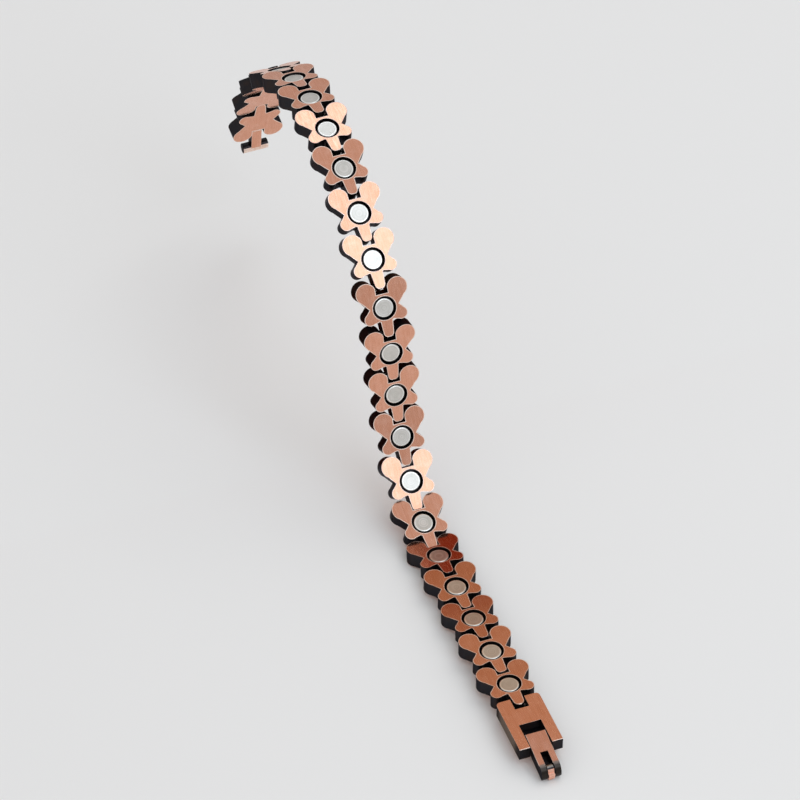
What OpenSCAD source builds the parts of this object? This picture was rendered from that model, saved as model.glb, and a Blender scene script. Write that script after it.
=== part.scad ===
// A magnetic bracelet of flat flower shaped links, shown open and draped in one upright plane.
// X runs across the bracelet, -Y towards the clasp, +Z up, all in millimetres.
// The origin lies under the highest hinge, where the underside of the arch sits.

/* [Links] */
// Distance from one hinge pin to the next
link_pitch = 9; // [8.6:0.1:10.5]
// Width across the two large lobes
link_width = 10.2; // [9.6:0.1:11.5]
// Thickness of a link
link_thickness = 2.9; // [2.6:0.1:3.4]
// Radius of a large lobe
big_lobe_r = 2; // [1.7:0.05:2.1]
// Radius of a small lobe
small_lobe_r = 1.2; // [0.9:0.05:1.4]
// Width across the centres of the two small lobes
small_lobe_span = 6.1; // [5.4:0.05:6.4]
// How far the small lobes lie ahead of the magnet
small_lobe_ahead = 1.6; // [1.3:0.05:1.8]
// Width of the copper rim round the recess
rim_w = 0.5; // [0.45:0.05:0.9]
// How far the waist between the lobes stands out from the rim
waist_reach = 0.15; // [0:0.05:0.3]

/* [Stems and hinges] */
// Width of the stem at its end
stem_w = 2; // [1.6:0.05:2.2]
// Extra width of the stem where it leaves the rim
stem_flare = 0.34; // [0:0.02:0.6]
// Length of the stem beyond its pin
stem_nose = 0.9; // [0.75:0.05:1]
// Radius that rounds the corners of the stem's end
nose_round_r = 1.15; // [1.1:0.05:1.6]
// Bevel along the upper and lower edge of the stem's end
nose_bevel = 0.3; // [0.25:0.05:0.45]
// Gap between the stem's end and the notch behind it
nose_gap = 0.5; // [0.45:0.05:0.7]
// Gap between the stem and the lobe on each side
side_gap = 0.2; // [0.1:0.05:0.3]
// How far a hinge pin lies behind the centres of the large lobes
pin_set = 0.75; // [0.6:0.05:1.1]
// Diameter of a hinge pin
pin_d = 0.8; // [0.6:0.05:1]
// Length of a hinge pin
pin_len = 7; // [5.6:0.1:7.4]
// Play all round a pin in its bore
pin_play = 0.05; // [0.03:0.01:0.08]
// Free length beyond each end of a pin
pin_end_gap = 0.1; // [0.05:0.05:0.2]

/* [Magnets] */
// Diameter of a magnet
magnet_d = 3.7; // [3.3:0.1:3.9]
// Height of a magnet
magnet_h = 1.4; // [1:0.1:1.6]
// Depth of the magnet's face below the link's face
magnet_sink = 0.25; // [0:0.05:0.4]
// Gap round a magnet in its recess
recess_gap = 0.45; // [0.2:0.05:0.55]
// Bonding gap under a magnet
magnet_seat_gap = 0.03; // [0.02:0.01:0.1]

/* [Clasp plate] */
// Width of the plate
plate_w = 8.5; // [8:0.1:9.6]
// Length of the plate ahead of the first hinge pin
plate_len = 11.3; // [10.6:0.1:14]
// Length of the plate behind the first hinge pin
plate_back = 0.95; // [0.85:0.05:1.1]
// Thickness of the plate
plate_thickness = 2.7; // [2.5:0.1:3.2]
// Radius of the plate's rear corners
plate_corner_r = 0.8; // [0.5:0.1:1.1]
// Gap between the first stem's end and the plate's notch
plate_notch_gap = 0.75; // [0.6:0.05:0.9]
// Gap between the first stem and each side of the plate's notch
plate_notch_side = 0.4; // [0.2:0.05:0.5]
// Length of the open window between the arms
window_len = 5.8; // [5.2:0.1:6.2]
// Gap between the lever and each arm
arm_gap = 0.22; // [0.15:0.01:0.3]
// Distance of the lever's pin from the ends of the arms
arm_end = 1.4; // [1.2:0.1:2]

/* [Clasp lever] */
// Width of the lever
lever_w = 3.9; // [3.5:0.1:4.2]
// Thickness of the lever
lever_thickness = 2.4; // [2:0.1:2.6]
// Length of the lever ahead of its pin
lever_len = 6.9; // [6:0.1:7.2]
// Radius of the lever's inner end about its pin
lever_heel_r = 2.3; // [1.5:0.05:2.5]
// Radius that rounds the top of the lever's forked end
lever_toe_r = 1.9; // [1.5:0.05:2.2]
// Depth of the lever's pin below the middle of the plate
lever_drop = 0.1; // [0:0.05:0.3]
// Angle of the lever below the plate as it lies open
lever_pitch = 9; // [4:1:14]
// Diameter of the lever's pin
lever_pin_d = 0.9; // [0.7:0.05:1]
// Length of the lever's pin
lever_pin_len = 7; // [6:0.1:7.6]
// Length of the slot in the lever's forked end
fork_slot_len = 4.5; // [3:0.1:4.8]
// Width of the slot in the lever's forked end
fork_slot_w = 1.5; // [1.3:0.05:1.8]
// Distance of the cross pin from the fork's end
fork_pin_set = 1.3; // [1.1:0.05:1.6]
// Diameter of the cross pin
fork_pin_d = 0.6; // [0.5:0.05:0.7]
// Length of the cross pin
fork_pin_len = 3.2; // [2.8:0.1:3.5]
// Width of the hook finger
finger_w = 1.2; // [1:0.05:1.3]
// Radius of the finger's eye round the cross pin
finger_eye_r = 0.9; // [0.8:0.05:1]
// Reach of the finger below its pin
finger_reach = 1.3; // [1.1:0.05:1.5]
// Length by which the finger stands ahead of the fork's end
finger_proud = 0.15; // [0.05:0.05:0.3]

/* [End catch] */
// Length of the catch tongue behind the last hinge pin
catch_len = 5; // [4:0.5:7]
// Thickness of the catch tongue
catch_thickness = 1.8; // [1.4:0.1:2.4]
// Diameter of the bar at the end of the catch tongue
catch_bar_d = 2; // [1.6:0.1:2.4]

/* [Hidden] */
LINKS = 21;
// Tilt of each link from the clasp back to the far end, positive where it falls towards the clasp
link_tilt = [-2, 1, -4, 2, -7, 21, 48, 60, 72, 75, 60, 40, 34, 22, 9, -9, -22, -37, -51, -65, -77];
plate_tilt = 1;
catch_tilt = -84;
// The highest hinge is the one behind this link
SEAT_LINK = 15;

eps = 0.01;
$fn = 64;
recess_r = magnet_d / 2 + recess_gap;
recess_depth = magnet_sink + magnet_h + magnet_seat_gap;
hub_r = recess_r + rim_w;
hinge_back = hub_r + nose_gap + stem_nose;
hinge_ahead = link_pitch - hinge_back;
big_lobe = [link_width / 2 - big_lobe_r, hinge_back - pin_set];
small_lobe = [small_lobe_span / 2, -small_lobe_ahead];
notch_w = stem_w + 2 * side_gap;
pin_bore_d = pin_d + 2 * pin_play;
pin_bore_len = pin_len + 2 * pin_end_gap;
seat_height = link_thickness / 2 + eps;
// Directions from the magnet to the two inner corners of the outline, measured from +X
waist_angle = 5;
crotch_angle = -59.5;
// Share of a lobe's radius at which a web's edge runs into it
web_bite = 0.96;

window_w = lever_w + 2 * arm_gap;
lever_pin_y = arm_end - plate_len;
lever_bore_d = lever_pin_d + 2 * pin_play;
lever_bore_len = lever_pin_len + 2 * pin_end_gap;
fork_bore_d = fork_pin_d + 2 * pin_play;
fork_pin_y = fork_pin_set - lever_len;

COPPER = [0.72, 0.46, 0.36];
BLACKENED = [0.2, 0.18, 0.2];
NICKEL = [0.8, 0.8, 0.78];

function two_digits(i) = str(i < 10 ? "0" : "", i);
LINK_NODES = [for (i = [1 : LINKS]) str("link_", two_digits(i))];
MAGNET_NODES = [for (i = [1 : LINKS]) str("magnet_", two_digits(i))];
CLASP_NODES = ["hinge_pins", "clasp_plate", "clasp_lever", "lever_pin", "fork_pin", "hook_finger", "end_catch"];

// Where each piece lies along the drape
function tilt(i) = i == 0 ? plate_tilt : i > LINKS ? catch_tilt : link_tilt[i - 1];
function ahead(angle) = [0, -cos(angle), -sin(angle)];
function run(first, last) = first > last ? [0, 0, 0] : ahead(tilt(first)) + run(first + 1, last);
// Hinge i lies behind link i and joins it to link i + 1, and hinge 0 joins link 1 to the clasp plate
function hinge(i) =
    [0, 0, seat_height] + link_pitch * (run(i + 1, SEAT_LINK) - run(SEAT_LINK + 1, i));
function magnet_place(i) = hinge(i) + hinge_back * ahead(tilt(i));

module at_link(i) {
    translate(magnet_place(i)) rotate([tilt(i), 0, 0]) children();
}

module at_plate() {
    translate(hinge(0)) rotate([plate_tilt, 0, 0]) children();
}

module at_lever() {
    at_plate()
        translate([0, lever_pin_y, -lever_drop])
            rotate([lever_pitch, 0, 0]) children();
}

// A round bar or bore across the bracelet, centred on X
module cross_bar(d, len) {
    rotate([0, 90, 0]) cylinder(d = d, h = len, center = true);
}

// The point where a line from a corner meets a lobe's side, turned left or right of its centre
function meeting_point(corner, centre, r, side) =
    let (gap = centre - corner, reach = norm(gap), turn = side * asin(r / reach))
    let (heading = atan2(gap[1], gap[0]) + turn, length = sqrt(reach * reach - r * r))
    corner + length * [cos(heading), sin(heading)];

function on_hub(angle, reach = 0) = (hub_r + reach) * [cos(angle), sin(angle)];

// Gives a flat outline the thickness of a link
module link_slab() {
    translate([0, 0, -link_thickness / 2]) linear_extrude(link_thickness) children();
}

// Half of the flower: one large lobe, one small lobe and the webs to the hub
module half_flower() {
    waist = on_hub(waist_angle, waist_reach);
    crotch = on_hub(crotch_angle);
    link_slab() translate(big_lobe) circle(r = big_lobe_r);
    link_slab() translate(small_lobe) circle(r = small_lobe_r);
    link_slab() polygon([
        [0, 0],
        waist,
        meeting_point(waist, big_lobe, big_lobe_r * web_bite, -1),
        big_lobe,
        [0, big_lobe[1]]
    ]);
    link_slab() polygon([
        [0, 0],
        waist,
        meeting_point(waist, small_lobe, small_lobe_r * web_bite, 1),
        small_lobe,
        meeting_point(crotch, small_lobe, small_lobe_r * web_bite, -1),
        crotch
    ]);
}

// The stem points to -Y and ends beyond its pin
module stem_outline() {
    tip = hinge_ahead + stem_nose;
    intersection() {
        polygon([
            [-stem_w / 2 - stem_flare / 2, 0],
            [stem_w / 2 + stem_flare / 2, 0],
            [stem_w / 2 + stem_flare / 2, -hub_r],
            [stem_w / 2, -hinge_ahead],
            [stem_w / 2, -tip],
            [-stem_w / 2, -tip],
            [-stem_w / 2, -hinge_ahead],
            [-stem_w / 2 - stem_flare / 2, -hub_r]
        ]);
        union() {
            translate([-link_width / 2, -hinge_ahead + nose_round_r / 4]) square([link_width, link_pitch]);
            translate([0, nose_round_r - tip - nose_bevel / 3]) circle(r = nose_round_r);
        }
    }
}

// The solid flower with the notch between its large lobes, and the stem
module flower() {
    difference() {
        union() {
            link_slab() circle(r = hub_r);
            half_flower();
            mirror([1, 0, 0]) half_flower();
        }
        translate([-notch_w / 2, hub_r - eps, -link_thickness]) cube([notch_w, link_pitch, 2 * link_thickness]);
    }
    link_slab() stem_outline();
}

// Cuts the upper and lower edge of a stem's end at 45 degrees
module nose_cut() {
    for (side = [-1, 1])
        translate([0, -hinge_ahead - stem_nose, side * link_thickness / 2])
            rotate([45, 0, 0])
                cube([link_width, nose_bevel * sqrt(2), nose_bevel * sqrt(2)], center = true);
}

module link(i) {
    color(COPPER)
    at_link(i) difference() {
        flower();
        translate([0, 0, link_thickness / 2 - recess_depth]) cylinder(r = recess_r, h = link_thickness);
        translate([0, hinge_back, 0]) cross_bar(pin_bore_d, pin_bore_len);
        translate([0, -hinge_ahead, 0]) cross_bar(pin_bore_d, notch_w);
        nose_cut();
    }
}

module magnet(i) {
    color(NICKEL)
    at_link(i)
        translate([0, 0, link_thickness / 2 - magnet_sink - magnet_h])
            cylinder(d = magnet_d, h = magnet_h);
}

module hinge_pins() {
    color(BLACKENED)
    for (i = [0 : LINKS]) translate(hinge(i)) cross_bar(pin_d, pin_len);
}

module plate_outline() {
    corner = plate_w / 2 - plate_corner_r;
    rear = plate_back - plate_corner_r;
    difference() {
        union() {
            translate([-plate_w / 2, -plate_len]) square([plate_w, plate_len + rear]);
            translate([-corner, -plate_len]) square([2 * corner, plate_len + plate_back]);
            for (side = [-1, 1]) translate([side * corner, rear]) circle(r = plate_corner_r);
        }
        translate([-stem_w / 2 - plate_notch_side, -stem_nose - plate_notch_gap])
            square([stem_w + 2 * plate_notch_side, link_pitch]);
        translate([-window_w / 2, -plate_len - eps]) square([window_w, window_len + eps]);
    }
}

module clasp_plate() {
    color(COPPER)
    at_plate() difference() {
        translate([0, 0, -plate_thickness / 2]) linear_extrude(plate_thickness) plate_outline();
        cross_bar(pin_bore_d, pin_bore_len);
        translate([0, lever_pin_y, -lever_drop]) cross_bar(lever_bore_d, lever_bore_len);
    }
}

// Side view of the lever: a flat bar with a rounded heel and a toe that rounds off downwards
module lever_profile() {
    toe = lever_toe_r - lever_len;
    intersection() {
        translate([-lever_len, -lever_thickness / 2])
            square([lever_len + lever_heel_r, lever_thickness]);
        union() {
            circle(r = lever_heel_r);
            translate([toe, -lever_thickness]) square([-toe, 2 * lever_thickness]);
            translate([toe, lever_thickness / 2 - lever_toe_r]) circle(r = lever_toe_r);
        }
    }
}

// Turns a side view, drawn with +X to the rear and +Y up, into a bar across the bracelet
module across(w) {
    translate([-w / 2, 0, 0]) rotate([90, 0, 90]) linear_extrude(w) children();
}

module clasp_lever() {
    color(COPPER)
    at_lever() difference() {
        across(lever_w) lever_profile();
        cross_bar(lever_bore_d, lever_w * 2);
        translate([-fork_slot_w / 2, -lever_len - eps, -lever_thickness])
            cube([fork_slot_w, fork_slot_len + eps, 2 * lever_thickness]);
        translate([0, fork_pin_y, 0]) cross_bar(fork_bore_d, fork_pin_len + 2 * pin_end_gap);
    }
}

module lever_pin() {
    color(BLACKENED)
    at_lever() cross_bar(lever_pin_d, lever_pin_len);
}

module fork_pin() {
    color(NICKEL)
    at_lever() translate([0, fork_pin_y, 0]) cross_bar(fork_pin_d, fork_pin_len);
}

module hook_finger() {
    color(COPPER)
    at_lever() translate([0, fork_pin_y, 0]) difference() {
        across(finger_w) {
            circle(r = finger_eye_r);
            translate([-fork_pin_set - finger_proud, -finger_reach])
                square([fork_pin_set + finger_proud, finger_reach]);
        }
        cross_bar(fork_bore_d, lever_w);
    }
}

// A plain tongue hinged in the last link's notch, with a bar at its free end
module end_catch() {
    color(COPPER)
    translate(hinge(LINKS)) rotate([catch_tilt, 0, 0]) {
        difference() {
            across(stem_w) {
                intersection() {
                    translate([-stem_nose, -catch_thickness / 2])
                        square([catch_len + stem_nose, catch_thickness]);
                    union() {
                        circle(r = stem_nose + eps);
                        translate([0, -catch_thickness]) square([catch_len, 2 * catch_thickness]);
                    }
                }
            }
            cross_bar(pin_bore_d, stem_w * 2);
        }
        translate([0, catch_len, 0]) cross_bar(catch_bar_d, link_width / 2);
    }
}

for (i = [1 : LINKS]) {
    link(i);
    magnet(i);
}
hinge_pins();
clasp_plate();
clasp_lever();
lever_pin();
fork_pin();
hook_finger();
end_catch();
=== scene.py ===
"""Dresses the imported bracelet: brushed copper links, blackened sides, nickel magnets and the clasp."""

import math

import bmesh
import bpy
from mathutils import Matrix, Vector


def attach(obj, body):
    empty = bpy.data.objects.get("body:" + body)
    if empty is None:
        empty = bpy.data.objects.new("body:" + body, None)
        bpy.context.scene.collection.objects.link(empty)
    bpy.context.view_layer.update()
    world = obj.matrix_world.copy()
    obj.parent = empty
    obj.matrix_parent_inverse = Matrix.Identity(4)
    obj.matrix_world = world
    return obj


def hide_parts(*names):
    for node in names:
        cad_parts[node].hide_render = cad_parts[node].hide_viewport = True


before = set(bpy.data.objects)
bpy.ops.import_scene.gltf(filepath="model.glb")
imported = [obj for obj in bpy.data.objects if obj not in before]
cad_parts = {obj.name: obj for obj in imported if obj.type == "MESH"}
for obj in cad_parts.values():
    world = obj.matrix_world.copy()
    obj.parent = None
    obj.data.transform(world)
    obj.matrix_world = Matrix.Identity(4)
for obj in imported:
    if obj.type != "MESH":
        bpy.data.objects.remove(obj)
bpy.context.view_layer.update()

# Sizes are in millimetres, and each piece is made at that scale in its own place
MM = 0.001

LINK_COUNT = 21
LINK_PITCH = 9.0
LINK_THICKNESS = 2.9
HUB_RADIUS = 2.8
RECESS_RADIUS = 2.3
RECESS_DEPTH = 1.68
BIG_LOBE_RADIUS = 2.0
BIG_LOBE_PLACE = (3.1, 3.45)
SMALL_LOBE_RADIUS = 1.2
SMALL_LOBE_PLACE = (3.05, -1.6)
WAIST_ANGLE = 5.0
WAIST_REACH = 0.15
CROTCH_ANGLE = -59.5
WEB_BITE = 0.96
NOTCH_WIDTH = 2.4
STEM_WIDTH = 2.0
STEM_FLARE = 0.34
STEM_NOSE = 0.9
NOSE_CHAMFER = 0.1
NOSE_RADIUS = 1.02
NOSE_STEPS = 16
HINGE_BACK = 4.2
HINGE_AHEAD = 4.8
PIN_BORE_RADIUS = 0.45
PIN_BORE_LENGTH = 7.2
RIM_BEVEL = 0.08
# Width of the pale ring round the links' flat faces: partly wear, partly a painted highlight
LINK_RIM_WEAR_AND_HIGHLIGHT = 0.13

MAGNET_RADIUS = 1.85
MAGNET_HEIGHT = 1.4
MAGNET_SINK = 0.25
MAGNET_BEVEL = 0.16
MAGNET_RIM = 0.3
MAGNET_DISH_RING = 0.7
MAGNET_DISH_DEPTH = 0.02

PLATE_WIDTH = 8.5
PLATE_LENGTH = 11.3
PLATE_BACK = 0.95
PLATE_THICKNESS = 2.7
PLATE_CORNER = 0.8
PLATE_NOTCH_WIDTH = 2.8
PLATE_NOTCH_END = -1.65
WINDOW_WIDTH = 4.34
WINDOW_LENGTH = 5.8
# Reach of the dark strip of painted shade at the window's rear wall
WINDOW_SHADE_REACH = 0.45
ARM_ROUNDING = 0.22

LEVER_WIDTH = 3.9
LEVER_THICKNESS = 2.4
LEVER_LENGTH = 6.9
LEVER_HEEL = 2.3
LEVER_TOE = 1.9
LEVER_DROP = 0.1
LEVER_PITCH = 9.0
LEVER_PIN_Y = -9.9
LEVER_BORE_RADIUS = 0.5
FORK_SLOT_LENGTH = 4.5
FORK_SLOT_WIDTH = 1.5
FORK_PIN_Y = -5.6
FORK_BORE_RADIUS = 0.35
FORK_BORE_LENGTH = 3.4
FORK_GREY_Y = -4.7
FORK_BLACK_Y = -5.7
# Where the dark strip of painted shade under the fork's slot ends
SLOT_SHADE_END = -4.9
STRIP_THICKNESS = 0.5

FINGER_WIDTH = 1.2
FINGER_EYE = 0.9
FINGER_AHEAD = 1.45
FINGER_REACH = 1.3
FINGER_BEVEL = 0.22
FINGER_EYE_Y = -0.2
# Front end of the band of painted shade between the finger's eye and the finger
FINGER_SHADE_Y = -0.5

CATCH_LENGTH = 5.0
CATCH_THICKNESS = 1.8
CATCH_BAR_RADIUS = 1.0
CATCH_BAR_LENGTH = 5.1

# Tilt of each link in degrees from the clasp back to the far end
LINK_TILTS = (-2, 1, -4, 2, -7, 21, 48, 60, 72, 75, 60, 40, 34, 22, 9, -9, -22, -37, -51, -65, -77)
PLATE_TILT = 1
CATCH_TILT = -84
SEAT_LINK = 15
SEAT_HEIGHT = 1.46

# Sides of the round pieces
HUB_SIDES = 72
BIG_LOBE_SIDES = 56
SMALL_LOBE_SIDES = 40
MAGNET_SIDES = 64
LEVER_SIDES = 64
BORE_SIDES = 24
FORK_BORE_SIDES = 20

# Angles and limits by which edges and faces are told apart
SHARP_EDGE = 20
SMOOTH_EDGE = 18
ROUND_EDGE = 30
NEAR = 0.01
FLAT_ENOUGH = 0.9999
SIDEWAYS = 0.95
BIG_TOOL = 20.0

# A number of its own for each piece, so that no two show the same marks
LINK_SHIFT = 7.3
MAGNET_SHIFT = 3.7
OWN_SHIFTS = {
    "clasp_plate": 2.9,
    "window_shade_strip": 4.4,
    "clasp_lever": 5.1,
    "slot_shade_strip": 6.2,
    "hook_finger": 8.3,
    "end_catch": 1.7,
}

# Colours of the metals
COPPER = (0.77, 0.38, 0.26)
DEEP_COPPER = (0.71, 0.33, 0.21)
PALE_COPPER = (0.86, 0.50, 0.38)
FACE_TONES = (DEEP_COPPER, COPPER, PALE_COPPER)
LEVER_TONES = ((0.61, 0.26, 0.155), (0.67, 0.30, 0.195), (0.75, 0.39, 0.28))
# Pale copper of the edges: partly wear, partly a painted highlight along the bevels and rims
WEAR_AND_HIGHLIGHT_PALE = (0.97, 0.80, 0.71)
WEAR_AND_HIGHLIGHT_DEEP = (0.86, 0.60, 0.48)
BLACKENED = (0.026, 0.025, 0.029)
BROWN_BLACK = (0.055, 0.036, 0.029)
SPECK_BROWN = (0.14, 0.09, 0.07)
# Grey and near black along the lever's rounded end: partly its dark finish, partly a painted sheen and
# painted shade
FORK_BLACK = (0.036, 0.030, 0.026)
FORK_GREY = (0.30, 0.24, 0.21)
SIDE_GREY_BROWN = (0.22, 0.175, 0.145)
NICKEL_DARK = (0.61, 0.59, 0.54)
NICKEL_LIGHT = (0.76, 0.73, 0.69)
NICKEL_TARNISH = (0.54, 0.53, 0.48)
# Pale nickel of the magnets' rims: partly wear, partly a painted highlight
MAGNET_RIM_WEAR_AND_HIGHLIGHT = (0.96, 0.95, 0.91)
MAGNET_RIM_HIGHLIGHT_TARNISH = (0.84, 0.82, 0.77)
DARK_WIRE = ((0.05, 0.045, 0.045), (0.12, 0.10, 0.09))
GREY_WIRE = ((0.22, 0.21, 0.20), (0.42, 0.41, 0.39))

# Tint of the plain gloss that lies over the blackened copper
BLACK_GLOSS = (0.35, 0.34, 0.36, 1)
SIDE_GLOSS = (0.40, 0.36, 0.33, 1)

# Roughness of the finishes, from the smoothest spots to the roughest
COPPER_ROUGHNESS = (0.17, 0.28)
WEAR_AND_HIGHLIGHT_ROUGHNESS = (0.42, 0.60)
BLACK_ROUGHNESS = (0.30, 0.46)
NICKEL_ROUGHNESS = (0.32, 0.44)
WIRE_ROUGHNESS_SPREAD = 0.06

# Where a noise value starts to count, and where it counts in full
NOISE_SPAN = (0.3, 0.7)
STROKE_SPAN = (0.32, 0.7)
CIRCLE_SPAN = (0.35, 0.65)
WIRE_GRAIN = 5200.0

# The stretches along the plate over which its sides turn from black to grey brown and back
SIDE_BROWN_FROM = (-10.2, -7.8)
SIDE_BROWN_TO = (-2.8, 0.3)

# The stage, in metres
FLOOR_HEIGHT = -0.058484
FLOOR_SIZE = 6.0
FLOOR_COLOUR = (0.835, 0.82, 0.80, 1)
ROOM_LOW = (0.58, 0.58, 0.59, 1)
ROOM_HIGH = (0.70, 0.70, 0.71, 1)
COOL_LIGHT = (0.84, 0.97, 1.10)
WARM_LIGHT = (1.0, 0.99, 0.96)
CARD_PLACE = -0.030
CARD_WIDTH = 0.20
CARD_TOP = 0.090
CARD_COLOURS = (
    (-0.058, (0.21, 0.02, 0.0)),
    (-0.016, (0.22, 0.03, 0.0)),
    (-0.010, (0.46, 0.30, 0.18)),
    (0.012, (0.46, 0.31, 0.20)),
    (0.024, (0.60, 0.45, 0.33)),
)

# The photo's view: from the target back to the camera, and to the picture's right
CAMERA_BACK = Vector((-0.25611, -0.66144, 0.70491))
CAMERA_RIGHT = Vector((0.93463, -0.35557, 0.00594))
CAMERA_TARGET = Vector((0.001751, -0.038766, -0.038264))
CAMERA_DISTANCE = 1.350
CAMERA_LENS = 322.58
CAMERA_SENSOR = 36


# Small helpers for modelling


def deselect_everything():
    if bpy.context.object and bpy.context.object.mode != "OBJECT":
        bpy.ops.object.mode_set(mode="OBJECT")
    bpy.ops.object.select_all(action="DESELECT")


def take_up(piece):
    """Makes the piece the one selected and active object."""
    deselect_everything()
    piece.select_set(True)
    bpy.context.view_layer.objects.active = piece


def round_bar(radius, length, place, sides=48, crosswise=False):
    """A cylinder along Z, or along X when it lies crosswise."""
    deselect_everything()
    turn = (0, math.radians(90), 0) if crosswise else (0, 0, 0)
    bpy.ops.mesh.primitive_cylinder_add(
        vertices=sides, radius=radius, depth=length, location=place, rotation=turn
    )
    return settle(bpy.context.object)


def block(low, high):
    """A box from its lowest to its highest corner."""
    deselect_everything()
    middle = [(a + b) / 2 for a, b in zip(low, high)]
    size = [b - a for a, b in zip(low, high)]
    bpy.ops.mesh.primitive_cube_add(size=1, location=middle, scale=size)
    return settle(bpy.context.object)


def slab(outline, thickness):
    """A flat plate of the given outline, centred on Z = 0, drawn anticlockwise."""
    deselect_everything()
    bpy.ops.mesh.primitive_circle_add(vertices=len(outline), radius=1, fill_type="NGON")
    plate = bpy.context.object
    for vertex, (x, y) in zip(plate.data.vertices, outline):
        vertex.co = (x, y, -thickness / 2)
    bpy.ops.object.mode_set(mode="EDIT")
    bpy.ops.mesh.select_all(action="SELECT")
    bpy.ops.mesh.extrude_region_move(TRANSFORM_OT_translate={"value": (0, 0, thickness)})
    bpy.ops.mesh.select_all(action="SELECT")
    bpy.ops.mesh.normals_make_consistent(inside=False)
    bpy.ops.object.mode_set(mode="OBJECT")
    return plate


def settle(piece):
    """Moves an object's place, turn and size into its mesh."""
    take_up(piece)
    bpy.ops.object.transform_apply(location=True, rotation=True, scale=True)
    return piece


def combine(piece, tool, operation):
    """Joins a tool to the piece, cuts it away or keeps what both share, and removes the tool."""
    take_up(piece)
    step = piece.modifiers.new(operation.title(), "BOOLEAN")
    step.operation = operation
    step.solver = "EXACT"
    step.object = tool
    bpy.ops.object.modifier_apply(modifier=step.name)
    bpy.data.objects.remove(tool)
    return piece


def cut_bore(piece, radius, length, y, z=0, sides=BORE_SIDES):
    """Drills a crosswise hole for a pin."""
    return combine(piece, round_bar(radius, length, (0, y, z), sides, crosswise=True), "DIFFERENCE")


def clean_up(piece):
    """Merges doubles and takes out the edges that a flat face doesn't need."""
    take_up(piece)
    bpy.ops.object.mode_set(mode="EDIT")
    bpy.ops.mesh.select_all(action="SELECT")
    bpy.ops.mesh.remove_doubles(threshold=0.0005)
    bpy.ops.mesh.dissolve_limited(angle_limit=math.radians(0.5))
    bpy.ops.mesh.select_all(action="SELECT")
    bpy.ops.mesh.normals_make_consistent(inside=False)
    bpy.ops.object.mode_set(mode="OBJECT")
    return piece


def bevel_edges(piece, wanted, width, segments):
    """Bevels the edges that the test picks, from the edge, its middle and its two face normals."""
    take_up(piece)
    bpy.ops.object.mode_set(mode="EDIT")
    bpy.ops.mesh.select_mode(type="EDGE")
    bpy.ops.mesh.select_all(action="DESELECT")
    mesh = bmesh.from_edit_mesh(piece.data)
    for edge in mesh.edges:
        if len(edge.link_faces) == 2:
            middle = (edge.verts[0].co + edge.verts[1].co) / 2
            first, second = (face.normal for face in edge.link_faces)
            sharp = first.angle(second, 0) > math.radians(SHARP_EDGE)
            if sharp and wanted(edge, middle, first, second):
                edge.select_set(True)
    bmesh.update_edit_mesh(piece.data)
    bpy.ops.mesh.bevel(offset=width, segments=segments, affect="EDGES", clamp_overlap=True)
    bpy.ops.object.mode_set(mode="OBJECT")
    return piece


def is_rim(height):
    """A test for the edges round a flat face that lies at that height above or below the middle."""

    def wanted(edge, middle, first, second):
        flat = max(abs(first.z), abs(second.z)) > 0.99
        steep = min(abs(first.z), abs(second.z)) < 0.9
        return flat and steep and abs(abs(middle.z) - height) < NEAR

    return wanted


def is_upright(low_y, high_y):
    """A test for the upright corner edges between two places along the piece."""

    def wanted(edge, middle, first, second):
        upright = abs(edge.verts[0].co.z - edge.verts[1].co.z) > 0.5
        return upright and low_y < middle.y < high_y

    return wanted


def soften(piece, degrees=SMOOTH_EDGE):
    """Shades the piece smooth, apart from edges sharper than this."""
    take_up(piece)
    bpy.ops.object.shade_smooth_by_angle(angle=math.radians(degrees))
    return piece


def note_own_place(piece):
    """Keeps each point's own place in millimetres, for patterns that follow the piece."""
    layer = piece.data.attributes.new("own_place", "FLOAT_VECTOR", "POINT")
    places = [number for vertex in piece.data.vertices for number in vertex.co]
    layer.data.foreach_set("vector", places)
    return piece


def note_shift(piece, value):
    """Gives a piece its own number, so that no two show the same marks."""
    layer = piece.data.attributes.new("own_shift", "FLOAT", "POINT")
    layer.data.foreach_set("value", [value] * len(piece.data.vertices))
    return piece


def paint(piece, materials, pick):
    """Gives each face the material that the test picks from its middle and normal."""
    for material in materials:
        piece.data.materials.append(material)
    for face in piece.data.polygons:
        face.material_index = pick(face.center, face.normal)
    return piece


# Where each piece lies along the drape


def tilt(number):
    """A link's tilt. 0 is the clasp plate, and numbers past the last link are the catch."""
    if number == 0:
        return PLATE_TILT
    if number > LINK_COUNT:
        return CATCH_TILT
    return LINK_TILTS[number - 1]


def ahead(degrees):
    """The way towards the clasp for something with this tilt."""
    angle = math.radians(degrees)
    return Vector((0, -math.cos(angle), -math.sin(angle)))


def hinge(number):
    """The middle of the hinge between a link and the next one back. 0 is at the clasp plate."""
    place = Vector((0, 0, SEAT_HEIGHT))
    for link in range(number + 1, SEAT_LINK + 1):
        place += LINK_PITCH * ahead(tilt(link))
    for link in range(SEAT_LINK + 1, number + 1):
        place -= LINK_PITCH * ahead(tilt(link))
    return place


def turned(degrees):
    return Matrix.Rotation(math.radians(degrees), 4, "X")


def link_place(number):
    middle = hinge(number) + HINGE_BACK * ahead(tilt(number))
    return Matrix.Translation(middle) @ turned(tilt(number))


def plate_place():
    return Matrix.Translation(hinge(0)) @ turned(PLATE_TILT)


def lever_place():
    pin = Matrix.Translation((0, LEVER_PIN_Y, -LEVER_DROP))
    return plate_place() @ pin @ turned(LEVER_PITCH)


def catch_place():
    return Matrix.Translation(hinge(LINK_COUNT)) @ turned(CATCH_TILT)


def put(piece, name, place, shift):
    """Sets a finished piece in its place in metres, with the place in its mesh."""
    piece.name = name
    piece.data.name = name
    note_shift(piece, shift)
    piece.data.transform(Matrix.Scale(MM, 4) @ place)
    piece.data.update()
    return piece


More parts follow.
